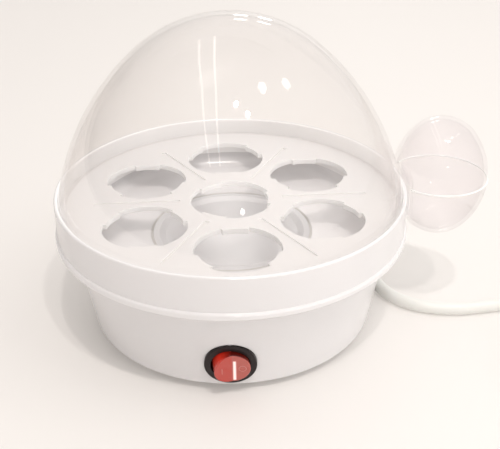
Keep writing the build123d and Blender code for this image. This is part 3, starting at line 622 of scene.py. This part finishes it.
def inner_wall(tree, coordinates):
    """Mask of the ring's inner wall, by distance from the Z axis and by height."""
    distance = axis_distance(tree, coordinates["Object"])
    within = map_range(tree, distance, (inner_reach, inner_reach + inner_blend), (1.0, 0.0))
    above = math_node(tree, "GREATER_THAN", split(tree, coordinates["Object"])["Z"], inner_height)
    return math_node(tree, "MULTIPLY", within, above)


def upright_faces(tree, coordinates):
    """Mask of the walls of holes and grooves."""
    upward = math_node(tree, "ABSOLUTE", split(tree, coordinates["Normal"])["Z"])
    return math_node(tree, "LESS_THAN", upward, upright_limit)


white_plastic = plastic("warm_white_plastic", (0.80, 0.785, 0.79, 1), 0.2, unevenness=0.03, glow=0.4)
ring_plastic = plastic("ring_white_plastic", (0.785, 0.77, 0.775, 1), 0.2, unevenness=0.03, glow=0.4)
# painted light: the ring's inner wall is lighter than the rest of the ring
paint_light(ring_plastic, (0.97, 0.955, 0.955, 1), inner_wall)
tray_plastic = plastic("tray_white_plastic", (0.745, 0.725, 0.72, 1), 0.34, glow=0.52)
# painted light: the walls of the tray's holes and grooves are lighter than its top
paint_light(tray_plastic, (0.96, 0.94, 0.93, 1), upright_faces)
cover_plastic = plastic("cover_plastic", (0.74, 0.705, 0.68, 1), 0.48, grain_depth=0.00005)
black_plastic = plastic("switch_black_plastic", (0.016, 0.010, 0.010, 1), 0.34)
set_inputs(black_plastic.node_tree.nodes["Principled BSDF"], {"Specular IOR Level": 0.3})
vinyl = plastic("cord_vinyl", (0.82, 0.82, 0.79, 1), 0.42, grain_depth=0.00004, glow=0.5)
tie_plastic = plastic("tie_plastic", (0.06, 0.06, 0.065, 1), 0.5, grain_depth=0.00004)
rubber = plastic("foot_rubber", (0.32, 0.3, 0.29, 1), 0.75, grain_depth=0.00008)
seal_rubber = plastic("seal_silicone", (0.6, 0.58, 0.56, 1), 0.55)
dark_plastic = plastic("clamp_plastic", (0.1, 0.1, 0.1, 1), 0.5)
fuse_ceramic = plastic("fuse_ceramic", (0.72, 0.69, 0.64, 1), 0.6)
brown_lead = plastic("brown_lead", (0.16, 0.06, 0.025, 1), 0.45)
blue_lead = plastic("blue_lead", (0.03, 0.09, 0.35, 1), 0.45)
green_lead = plastic("green_lead", (0.16, 0.36, 0.05, 1), 0.45)
print("plastics", len(bpy.data.materials))

# %% [markdown]
# The rocker is red see-through plastic, and it is on: the small lamp behind it shows as an upright white
# streak and makes its upper side glow on the left. A lamp object inside the switch would need many samples to
# get through the plastic, so the glow is an emission colour, placed in the rocker's own coordinates so that
# it tips with it. The half that stands proud is a shade greyer, which is a painted haze of reflected light,
# and the rest of the upper side, under the bezel, is dark with painted shade.

# %% Lit rocker
rocker_red, rocker_painted_haze_red = (0.46, 0.035, 0.02, 1), (0.44, 0.085, 0.065, 1)
rocker_shaded = (0.07, 0.004, 0.003, 1)
dim_glow, lit_glow, streak_light = (0.03, 0.002, 0.001, 1), (0.25, 0.006, 0.002, 1), (0.95, 0.86, 0.82, 1)
half_edge, bezel_edge = (0.0003, 0.0011), (-0.005, 0.0005)
upper_facing, front_facing = (0.2, 0.8), (-0.85, -0.8)
streak_x, streak_z = 0.0018, 0.0155
streak_half_width, streak_half_height, streak_blur = 0.0006, 0.0058, 0.0006


def streak_mask(tree, place, facing):
    """Mask of the upright streak on the rocker's front."""
    streak = map_range(tree, facing["Y"], front_facing, (1.0, 0.0))
    sizes = {"X": (streak_x, streak_half_width), "Z": (streak_z, streak_half_height)}
    for axis, (middle_place, half_size) in sizes.items():
        away = math_node(tree, "ABSOLUTE", math_node(tree, "SUBTRACT", place[axis], middle_place))
        edge = half_size - streak_blur / 2, half_size + streak_blur / 2
        streak = math_node(tree, "MULTIPLY", streak, map_range(tree, away, edge, (1.0, 0.0)))
    return streak


def lit_rocker(name):
    """Red see-through plastic with its lamp's light, a painted reflection haze and painted bezel shade."""
    material = plastic(name, rocker_red, 0.12, drift=0.06, coat=0.6)
    tree = material.node_tree
    shader = tree.nodes["Principled BSDF"]
    coordinates = add_node(tree, "ShaderNodeTexCoord").outputs
    place, facing = split(tree, coordinates["Object"]), split(tree, coordinates["Normal"])
    upper_side = map_range(tree, facing["Z"], upper_facing)
    # painted shade: the upper side under the bezel darkens towards rocker_shaded
    shade = math_node(tree, "MULTIPLY", upper_side, map_range(tree, place["X"], bezel_edge))
    # painted reflection: the proud half is hazed a shade greyer
    colour = mix_colours(tree, map_range(tree, place["X"], half_edge), rocker_red, rocker_painted_haze_red)
    colour = mix_colours(tree, shade, colour, rocker_shaded)
    tree.links.new(colour, skin_of(tree).inputs["Colour"])
    glow = mix_colours(tree, math_node(tree, "SUBTRACT", upper_side, shade), dim_glow, lit_glow)
    light = mix_colours(tree, streak_mask(tree, place, facing), glow, streak_light)
    tree.links.new(light, shader.inputs["Emission Color"])
    set_inputs(shader, {"Emission Strength": 1.0})
    return material


red_plastic = lit_rocker("rocker_red_plastic")
print("lit rocker", len(red_plastic.node_tree.nodes), "nodes")

# %% [markdown]
# The lid is clear plastic with a thin, even wall, which hardly bends what is seen through it. So its shader
# lets light straight through and leaves the gloss to a clear coat, which hand marks dull here and there. The
# tint deepens towards the edges, where light takes a longer way through the wall. It deepens most on the
# left of the dome and the far end of the grip, and that is painted shade. Shadow and scattered rays would
# count the light twice, so they meet a plain transparent shader. Where the two halves of the grip lie on each
# other, alpha hides the level faces, because clear faces in contact would draw a black line.

# %% Clear plastic
joint_low, joint_high, joint_reach = 0.0713, 0.0735, 0.0828
level_limit = 0.98
edge_power, edge_share = 2.0, (0.4, 1.0)
hand_mark_dulling = 0.35
no_tint = (1, 1, 1, 1)


def make_joint_faces():
    """Mask of the grip, and alpha that hides its level faces in a band of heights."""
    inputs = {"Low": joint_low, "High": joint_high, "Reach": joint_reach}
    group, given, made = new_group("joint_faces", inputs, {"Alpha": value_socket, "Grip": value_socket})
    coordinates = add_node(group, "ShaderNodeTexCoord").outputs
    height = split(group, coordinates["Object"])["Z"]
    upward = math_node(group, "ABSOLUTE", split(group, coordinates["Normal"])["Z"])
    grip = math_node(group, "GREATER_THAN", axis_distance(group, coordinates["Object"]), given["Reach"])
    above = math_node(group, "GREATER_THAN", height, given["Low"])
    below = math_node(group, "LESS_THAN", height, given["High"])
    hidden = math_node(group, "MULTIPLY", math_node(group, "GREATER_THAN", upward, level_limit), grip)
    hidden = math_node(group, "MULTIPLY", hidden, math_node(group, "MULTIPLY", above, below))
    group.links.new(math_node(group, "SUBTRACT", 1.0, hidden), made["Alpha"])
    group.links.new(grip, made["Grip"])
    return group


def edge_colour(tree, edge, tint, edge_tint, painted_shade_side):
    """Tint that deepens towards the edges, and more so, as painted shade, from one place along X to another.
    """
    along = split(tree, add_node(tree, "ShaderNodeTexCoord").outputs["Object"])["X"]
    share = math_node(tree, "MULTIPLY", edge, map_range(tree, along, painted_shade_side, edge_share))
    return mix_colours(tree, share, tint, edge_tint)


def clear_plastic(name, tints, shadow_tint, clearness=1.0, grip=None):
    """Clear moulded plastic; tints and grip hold what edge_colour takes, for the piece and its grip."""
    material, tree, shader = new_material(name)
    set_inputs(shader, {"Transmission Weight": clearness, "IOR": 1.0, "Roughness": 0.0})
    set_inputs(shader, {"Coat IOR": 1.5, "Coat Roughness": 0.03})
    facing = add_node(tree, "ShaderNodeLayerWeight", {"Blend": 0.5}).outputs["Facing"]
    edge = math_node(tree, "POWER", facing, edge_power)
    joint = place_group(tree, joint_faces)
    tree.links.new(joint.outputs["Alpha"], shader.inputs["Alpha"])
    colour = edge_colour(tree, edge, *tints)
    if grip:
        colour = mix_colours(tree, joint.outputs["Grip"], colour, edge_colour(tree, edge, *grip))
    tree.links.new(colour, shader.inputs["Base Color"])
    dulled = math_node(tree, "MULTIPLY", place_group(tree, hand_marks).outputs["Mask"], hand_mark_dulling)
    tree.links.new(math_node(tree, "SUBTRACT", 1.0, dulled), shader.inputs["Coat Weight"])
    shade = mix_colours(tree, is_ray(tree, "Shadow"), no_tint, shadow_tint)
    ghost = add_node(tree, "ShaderNodeBsdfTransparent", {"Color": shade})
    mix_shaders(tree, is_ray(tree, *scattered_rays), shader, ghost)
    return material


joint_faces = make_joint_faces()
# painted shade: between these two places along X the edge tint deepens to its full share
lid_painted_shade_side, grip_painted_shade_side = (-0.035, -0.075), (0.106, 0.122)
lid_tints = (0.980, 0.971, 0.965, 1), (0.82, 0.79, 0.775, 1), lid_painted_shade_side
grip_tints = (0.985, 0.968, 0.974, 1), (0.88, 0.86, 0.865, 1), grip_painted_shade_side
glass_tints = (0.98, 0.9, 0.8, 1), (0.9, 0.8, 0.7, 1), lid_painted_shade_side
lid_clear = clear_plastic("lid_clear_plastic", lid_tints, (0.99, 0.99, 0.99, 1), grip=grip_tints)
grip_clear = clear_plastic("grip_clear_plastic", grip_tints, (0.46, 0.45, 0.44, 1), clearness=0.94)
lamp_glass = clear_plastic("lamp_glass", glass_tints, (0.9, 0.85, 0.8, 1))
print("clear finishes", [finish.name for finish in (lid_clear, grip_clear, lamp_glass)])

# %% [markdown]
# Metal shows how it was worked: the plate was turned, so rings run round its middle, and the small parts are
# zinc-plated steel or brass with an uneven sheen. The skin group serves here too, with its own values.

# %% Metal finishes
metal_drift, metal_unevenness, metal_grain, metal_grain_depth = 0.05, 0.1, 900.0, 0.00002


def metal(name, colour, roughness, ring_depth=0.0):
    """Worked metal: the skin group gives tone and gloss, and the bump is its grain or the turned rings."""
    material, tree, shader = new_material(name)
    set_inputs(shader, {"Metallic": 1.0})
    skin = add_skin(tree, shader, colour, roughness, metal_drift, metal_unevenness, metal_grain)
    if ring_depth:
        add_bump(tree, shader, place_group(tree, turned_rings).outputs["Height"], ring_depth)
    else:
        add_bump(tree, shader, skin.outputs["Height"], metal_grain_depth)
    return material


plate_metal = metal("plate_aluminium", (0.83, 0.83, 0.84, 1), 0.6, ring_depth=0.00001)
steel = metal("zinc_steel", (0.6, 0.6, 0.6, 1), 0.38)
brass = metal("terminal_brass", (0.78, 0.66, 0.42, 1), 0.2)
print("metals", [finish.name for finish in (plate_metal, steel, brass)])

# %% [markdown]
# The CAD pieces already have their final shapes, so each only gets its finish. A table from finish to pieces
# is easier to check than a line for each piece, and the pieces inside the base are in it too.

# %% Finishes on the CAD pieces
finishes = {
    white_plastic: ["base_housing"],
    ring_plastic: ["upper_ring"],
    tray_plastic: ["egg_tray"],
    cover_plastic: ["bottom_cover"],
    lid_clear: ["lid_dome"],
    grip_clear: ["grip_lower_shell"],
    black_plastic: ["switch_housing"],
    red_plastic: ["switch_rocker"],
    lamp_glass: ["switch_lamp"],
    plate_metal: ["heating_plate"],
    steel: [
        "cover_screws",
        "heating_element",
        "heater_bracket",
        "bracket_screws",
        "thermostat",
        "fuse_clip",
        "clamp_screws",
    ],
    brass: ["element_terminals", "thermostat_terminals", "switch_terminals", "plug_pins", "earth_clips"],
    fuse_ceramic: ["thermal_fuse"],
    rubber: ["rubber_feet"],
    seal_rubber: ["plate_seal"],
    vinyl: ["cord_gland", "cord_inner_end", "plug_body"],
    dark_plastic: ["cord_clamp"],
    brown_lead: ["live_core", "switched_lead", "heater_lead"],
    blue_lead: ["neutral_core"],
    green_lead: ["earth_core"],
}
for finish, names in finishes.items():
    for name in names:
        nodes[name].data.materials.clear()
        nodes[name].data.materials.append(finish)
cord_curve.materials.append(vinyl)
tie_mesh.materials.append(tie_plastic)
print("finished", sum(len(names) for names in finishes.values()), "CAD pieces")

# %% [markdown]
# The two halves of the grip are welded along its widest line, and the weld shows as a bright, slightly raised
# bead. A curve along that circle, with a round bevel, makes it. It stops where the grip meets the ring.

# %% Weld bead of the grip
grip_centre = Vector((0.10243, 0.00591, 0.0715))
grip_radius = 23.3 * millimetre
weld_radius = 0.45 * millimetre
weld_start_reach = 86.5 * millimetre
weld_steps = 72


def round_line(name, routes, radius):
    """Curve object with a round section along each route; a route comes with whether it is closed."""
    data = bpy.data.curves.new(name, "CURVE")
    data.dimensions = "3D"
    data.bevel_depth = 1.0
    data.bevel_resolution = 3
    data.use_fill_caps = True
    for route, closed in routes:
        line = data.splines.new("POLY")
        line.points.add(len(route) - 1)
        for point, place in zip(line.points, route):
            point.co = (*place, 1)
            point.radius = radius
        line.use_cyclic_u = closed
    return add_object(name, data)


weld_route = []
for step in range(weld_steps + 1):
    angle = math.tau * step / weld_steps - math.pi
    place = grip_centre + Vector((math.cos(angle), math.sin(angle), 0)) * grip_radius
    if place.xy.length > weld_start_reach:
        weld_route.append(place)
weld = round_line("grip_weld", [(weld_route, False)], weld_radius)
weld.data.materials.append(plastic("weld_plastic", (0.93, 0.915, 0.905, 1), 0.2, glow=0.5))
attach(weld, "lid")
print("weld bead", len(weld_route), "points")

# %% [markdown]
# A rocker carries a bar for on and a ring for off, moulded a hair above its two halves. The rocker tips about
# the switch's upright axis, so the marks are laid out on its face, in the switch's own axes and in
# millimetres, and ride on it.

# %% Marks on the rocker
switch_place = Vector((0.0, -72.5835, 17.2))
switch_up = Vector((0.0, -0.1632, 0.98659))
switch_out = Vector((0.0, -0.98659, -0.1632))
rocker_tilt = math.radians(10)
rocker_sink, rocker_crease = 1.0, 3.9
mark_reach, mark_ring_radius, bar_half_height, mark_line_radius = 4.6, 1.6, 1.7, 0.18
mark_ring_steps = 32


def rocker_face(across, up):
    """Point on the rocker's face, in metres, from millimetres across and up."""
    height = rocker_crease + abs(across) * math.tan(rocker_tilt) - mark_line_radius / 2
    side = across * math.cos(rocker_tilt) + height * math.sin(rocker_tilt)
    out = height * math.cos(rocker_tilt) - across * math.sin(rocker_tilt) - rocker_sink
    return (switch_place + Vector((side, 0, 0)) + switch_up * up + switch_out * out) * millimetre


off_ring = []
for step in range(mark_ring_steps):
    angle = math.tau * step / mark_ring_steps
    across = mark_reach + mark_ring_radius * math.cos(angle)
    off_ring.append(rocker_face(across, mark_ring_radius * math.sin(angle)))
on_bar = [rocker_face(-mark_reach, -bar_half_height), rocker_face(-mark_reach, bar_half_height)]
marks = round_line("rocker_marks", [(off_ring, True), (on_bar, False)], mark_line_radius * millimetre)
marks.data.materials.append(plastic("rocker_mark_paint", (0.6, 0.2, 0.17, 1), 0.3))
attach(marks, "rocker")
print("rocker marks", len(marks.data.splines))

# %% [markdown]
# The pieces made here mustn't make the cooker larger than its CAD model. The Standard view transform shows
# colours as they were written.

# %% View transform
bpy.context.scene.view_settings.view_transform = "Standard"
bpy.context.view_layer.update()
